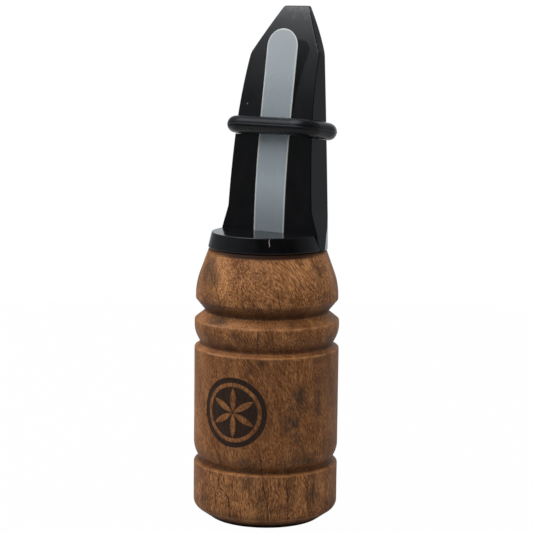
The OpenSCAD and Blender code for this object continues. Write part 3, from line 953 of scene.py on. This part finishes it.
def ring_route(inset, step=3.0):
    """Points of x, y and outward angle round the reed ring's route, moved in by an inset."""
    rear_x = RING_SIDE_X - RING_REAR_BEND_R
    rear_y = math.sqrt((RING_BACK_R - RING_REAR_BEND_R) ** 2 - rear_x ** 2)
    rear = math.degrees(math.atan2(rear_y, rear_x))
    front_x = RING_SIDE_X - RING_FRONT_BEND_R
    front_y = RING_FRONT_Y + RING_FRONT_BEND_R
    arcs = [
        (front_x, front_y, RING_FRONT_BEND_R, -90, 0),
        (rear_x, rear_y, RING_REAR_BEND_R, 0, rear),
        (0, 0, RING_BACK_R, rear, 180 - rear),
        (-rear_x, rear_y, RING_REAR_BEND_R, 180 - rear, 180),
        (-front_x, front_y, RING_FRONT_BEND_R, 180, 270),
    ]
    out = []
    for x, y, radius, first, last in arcs:
        parts = math.ceil((last - first) / step)
        for i in range(parts + 1):
            a = math.radians(first + (last - first) * i / parts)
            point = (x + (radius - inset) * math.cos(a), y + (radius - inset) * math.sin(a), a)
            if not out or math.dist(out[-1][:2], point[:2]) > 1e-6:
                out.append(point)
    return out


def in_ring_plane(x, y, height):
    """From the ring's own plane to the frame, in millimetres."""
    tilt = math.radians(-RING_TILT)
    dy = y - RING_FRONT_Y
    return (x, RING_FRONT_Y + dy * math.cos(tilt) - height * math.sin(tilt),
            RING_Z + dy * math.sin(tilt) + height * math.cos(tilt))


def groove_solid():
    """What the ring's groove takes off the board: a disc wider than the board, less a core."""
    half = RING_R + RING_GROOVE_ROOM
    core = [(x, y) for x, y, _ in ring_route(RING_R + CONTACT_GAP, 9.0)]
    slot = prism("slot", circle(14, 96), -half, half, in_ring_plane)
    return combine(slot, prism("core", core, -half - 1, half + 1, in_ring_plane), "DIFFERENCE")


def build_toneboard():
    board = board_solid()
    combine(board, stem_solid(), "UNION")
    for solid in channel_solids():
        combine(board, solid, "DIFFERENCE")
    roof = FLANGE_TOP_Z - STEM_BORE_ROOF
    bottom = RIM_Z - STEM_L - 1
    bore = disc_solid("bore", [(0, bottom, 0), (STEM_BORE_R, bottom, 0), (STEM_BORE_R, roof, 0),
                               (0, roof, 0)])
    combine(board, bore, "DIFFERENCE")
    combine(board, groove_solid(), "DIFFERENCE")
    weigh_normals(board)
    board.data.materials.clear()
    board.data.materials.append(plastic_material())
    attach(board, "insert")
    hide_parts("toneboard")


# Rubber rings

def rubber_ring(name, route, radius, place, flash):
    """A round section carried round a route, with a thin moulding flash on its outer side."""
    flash_half_w = 4.0
    turns = [0, 2, 4, 7, 11, 16] + list(range(22, 339, 7)) + [344, 349, 353, 356, 358]
    sections = []
    for x, y, outward_angle in route:
        ring = []
        for t in turns:
            off = min(t, 360 - t)
            reach = radius + flash * max(0.0, 1 - off / flash_half_w)
            b = math.radians(t)
            across = reach * math.cos(b)
            ring.append(place(x + across * math.cos(outward_angle),
                              y + across * math.sin(outward_angle), reach * math.sin(b)))
        sections.append(ring)
    return loft(name, sections, closed=True)


def filled_route(route, step):
    """Adds points on the route's straight stretches."""
    out = []
    for (x0, y0, a0), (x1, y1, a1) in zip(route, route[1:] + route[:1]):
        parts = max(1, math.ceil(math.dist((x0, y0), (x1, y1)) / step))
        turn = (a1 - a0 + math.pi) % (2 * math.pi) - math.pi
        out += [(x0 + (x1 - x0) * i / parts, y0 + (y1 - y0) * i / parts, a0 + turn * i / parts)
                for i in range(parts)]
    return out


def build_rings():
    rubber = rubber_material()
    route = filled_route(ring_route(0), RING_STEP)
    ring = rubber_ring("reed_ring_rubber", route, RING_R, in_ring_plane, RING_FLASH)
    ring.data.materials.append(rubber)
    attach(ring, "insert")
    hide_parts("reed_ring")
    middle_r = STEM_RING_OUTER_R - STEM_RING_R
    route = [(middle_r * math.cos(t), middle_r * math.sin(t), t)
             for t in (2 * math.pi * i / 120 for i in range(120))]
    for which, z in STEM_RING_HEIGHTS.items():
        seal = rubber_ring(f"stem_ring_{which}_rubber", route, STEM_RING_R,
                           lambda x, y, height, z=z: (x, y, z + height), STEM_RING_FLASH)
        seal.data.materials.append(rubber)
        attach(seal, "stem_seals")
        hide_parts(f"stem_ring_{which}")


# Reed

def reed_middle(h):
    """The y of the reed's middle layer: on the face up to the ring, and straight above it."""
    lying = face_y(h) - CONTACT_GAP - REED_T / 2
    slope = math.tan(face_angle(RING_H) - math.radians(REED_RISE))
    standing = face_y(RING_H) - REED_LIFT - REED_T / 2 + slope * (h - RING_H)
    share = smooth(h, RING_H - 2.5, RING_H + 1.0)
    return lying * (1 - share) + standing * share


def reed_outline(rise):
    """The reed's section at a rise above its end's middle, and which points are on its cut edge."""
    inner_r = REED_END_R - REED_CUT_EDGE
    back = REED_T / 2
    half = math.sqrt(max(REED_END_R ** 2 - rise ** 2, 0.01))
    inner = math.sqrt(max(inner_r ** 2 - rise ** 2, 0.0004))
    outline = rounded([(-half, -back, REED_EDGE_R), (half, -back, REED_EDGE_R),
                       (half, back, REED_EDGE_R), (-half, back, REED_EDGE_R)], 3)
    # Two points more on the front and on the back, between their four-point corners
    outline[12:12] = [(inner, back), (-inner, back)]
    outline[4:4] = [(-inner, -back), (inner, -back)]
    flat = float(rise > inner_r)
    return outline, [flat if abs(x) <= inner else 1.0 for x, _ in outline]


def build_reed():
    end_h = REED_H - REED_END_R
    stations = list(np.linspace(REED_FOOT_H, end_h, 60))
    stations += [end_h + REED_END_R * math.sin(math.radians(t)) for t in range(5, 90, 4)]
    skew = math.radians(REED_SKEW)
    rim = []
    sections = []
    for h in stations:
        outline, cut = reed_outline(max(0.0, h - end_h))
        rim += cut
        lean = math.atan2(reed_middle(h + 0.05) - reed_middle(h - 0.05), 0.1)
        level_foot = 1 - smooth(h, 0, 3)
        section = []
        for x, d in outline:
            y = reed_middle(h) + d * math.cos(lean)
            up = h - REED_FOOT_H - d * math.sin(lean) + x * math.tan(skew) * level_foot
            section.append((REED_SHIFT + x * math.cos(skew) + up * math.sin(skew), y,
                            FLANGE_TOP_Z + REED_FOOT_H - x * math.sin(skew) + up * math.cos(skew)))
        sections.append(section)
    reed = weigh_normals(loft("reed_film_strip", sections))
    paint(reed, "rim", rim)
    reed.data.materials.append(film_material())
    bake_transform(reed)
    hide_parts("reed_tail", "reed_blade")


# Studio

def facing(azimuth, elevation):
    """The direction from the object towards a place in the studio."""
    a = math.radians(azimuth)
    e = math.radians(elevation)
    return Vector((math.sin(a) * math.cos(e), -math.cos(a) * math.cos(e), math.sin(e)))


def softbox(name, azimuth, elevation, distance, size, power):
    """An area lamp that faces the object: distance and size in metres, power in watts."""
    light = bpy.data.lights.new(name, "AREA")
    light.shape = "RECTANGLE"
    light.size, light.size_y = size
    light.energy = power
    lamp = link(bpy.data.objects.new(name, light))
    middle = Vector((0, 0, 0.05))
    lamp.location = middle + facing(azimuth, elevation) * distance
    lamp.rotation_euler = facing(azimuth, elevation).to_track_quat("Z", "Y").to_euler()
    lamp.visible_glossy = False


def build_floor():
    """A round pale table top that stays white to the camera and keeps the shadow."""
    points = [(x, y, -0.02) for x, y in circle(FLOOR_R, 96)]
    floor = mesh_object("studio_floor", points, [tuple(range(len(points)))])
    shader = Shader("floor_white")
    shader.finish(Base_Color=(0.32, 0.32, 0.32, 1), Roughness=0.9, Specular_IOR_Level=0.1)
    glow = shader.add("Emission", {"Color": (1, 1, 1, 1), "Strength": 1.0})
    path = shader.add("LightPath").outputs
    seen = shader.math("MULTIPLY", path["Is Camera Ray"], 0.985)
    blend = shader.add("MixShader", {0: seen, 1: shader.surface.outputs[0], 2: glow.outputs[0]})
    shader.links.new(blend.outputs[0], shader.output.inputs["Surface"])
    floor.data.materials.append(shader.material)


# Brightness of the surround by azimuth, near the floor and high up, and of the haze by elevation
GLOW_LOW = [
    (-180, 0.7), (-165, 0.9), (-150, 0.9), (-125, 0.35), (-100, 0.22), (-70, 0.2), (-35, 0.10),
    (-9, 0.01), (85, 0.01), (104, 0.12), (137, 0.28), (147, 0.33), (160, 0.40), (180, 0.7),
]
GLOW_HIGH = [
    (-180, 0.35), (-125, 0.4), (-80, 0.4), (-9, 0.12), (85, 0.08), (110, 0.12), (150, 0.25),
    (180, 0.35),
]
HAZE = [(2, 0), (12, 0.12), (19, 0.17), (28, 0.45), (36, 0.6), (46, 0.3), (60, 0)]


def surround_glow(azimuth, elevation):
    """How bright the studio looks in glossy surfaces: dim at the front, pale behind the object,
    with a haze and a bright window on the left."""
    low = np.interp(azimuth, *zip(*GLOW_LOW))
    high = np.interp(azimuth, *zip(*GLOW_HIGH))
    level = low + (high - low) * smooth(elevation, 18, 45)
    haze = np.interp(elevation, *zip(*HAZE)) * (1 - smooth(abs(azimuth - WINDOW[0]), 25, 55))
    off_window = math.degrees(facing(*WINDOW).angle(facing(azimuth, elevation)))
    return level + haze + WINDOW_GLOW * (1 - smooth(off_window, 10, 34))


def build_surround():
    """A shell of cloth round the studio that only glossy surfaces see."""
    azimuths = range(-180, 180, 5)
    elevations = list(range(-22, 88, 5)) + [89.5]
    middle = Vector((0, 0, 80))
    places = [(a, e) for e in elevations for a in azimuths]
    points = [facing(a, e) * SURROUND_R + middle for a, e in places]
    count = len(azimuths)
    faces = []
    for low in range(0, len(points) - count, count):
        high = low + count
        faces += [(low + i, low + (i + 1) % count, high + (i + 1) % count, high + i)
                  for i in range(count)]
    wall = mesh_object("studio_surround", points, faces)
    paint(wall, "glow", [surround_glow(a, e) for a, e in places])
    shader = Shader("surround_cloth")
    glow = shader.attribute("glow")
    light = shader.add("Emission", {"Color": (0.90, 0.95, 1, 1), "Strength": glow})
    shader.links.new(light.outputs[0], shader.output.inputs["Surface"])
    wall.data.materials.append(shader.material)
    wall.visible_camera = False
    wall.visible_diffuse = False
    wall.visible_shadow = False
    wall.visible_transmission = False


def build_world():
    """A soft fill that is stronger from above, and plain white to the camera and to gloss."""
    world = bpy.data.worlds.new("studio")
    bpy.context.scene.world = world
    net = Nodes(world)
    z = net.add("SeparateXYZ", {0: net.add("TexCoord").outputs["Generated"]}).outputs[2]
    level = net.add("MapRange", {
        "Value": z, "From Min": -0.25, "From Max": 0.35, "To Min": 0.18, "To Max": 0.44})
    fill = net.add("Background", {"Color": (1, 1, 1, 1), "Strength": level.outputs["Result"]})
    white = net.add("Background", {"Color": (1, 1, 1, 1), "Strength": 1.0})
    path = net.add("LightPath").outputs
    seen = net.math("MAXIMUM", path["Is Camera Ray"], path["Is Glossy Ray"])
    seen = net.math("MAXIMUM", seen, path["Is Transmission Ray"])
    blend = net.add("MixShader", {0: seen, 1: fill.outputs[0], 2: white.outputs[0]})
    net.add("OutputWorld", {"Surface": blend.outputs[0]})


def build_camera():
    data = bpy.data.cameras.new("photo_camera")
    data.sensor_width = SENSOR
    data.lens = SENSOR * FOCAL_PX / IMAGE_PX
    data.clip_start = 0.01
    data.clip_end = 10
    camera = link(bpy.data.objects.new("photo_camera", data))
    back = facing(CAMERA_AZIMUTH, CAMERA_PITCH)
    level = facing(CAMERA_AZIMUTH + 90, 0)
    roll = Matrix.Rotation(-math.radians(CAMERA_ROLL), 3, -back)
    right = roll @ level
    up = back.cross(right)
    place = Vector((0, 0, CAMERA_TARGET_Z)) + back * CAMERA_DISTANCE + level * CAMERA_SIDE
    turn = Matrix((right, up, back)).transposed().to_4x4()
    camera.matrix_world = Matrix.Translation(place * MM) @ turn
    bpy.context.scene.camera = camera


build_barrel()
build_toneboard()
build_rings()
build_reed()
build_camera()
build_world()
build_floor()
build_surround()
softbox("softbox_top", -20, 68, 0.9, (1.6, 1.2), 17)
softbox("softbox_left", -75, 25, 1.0, (0.6, 0.9), 8)
softbox("softbox_right", 115, 25, 1.0, (0.5, 0.9), 3.5)

scene = bpy.context.scene
scene.view_settings.view_transform = "Standard"
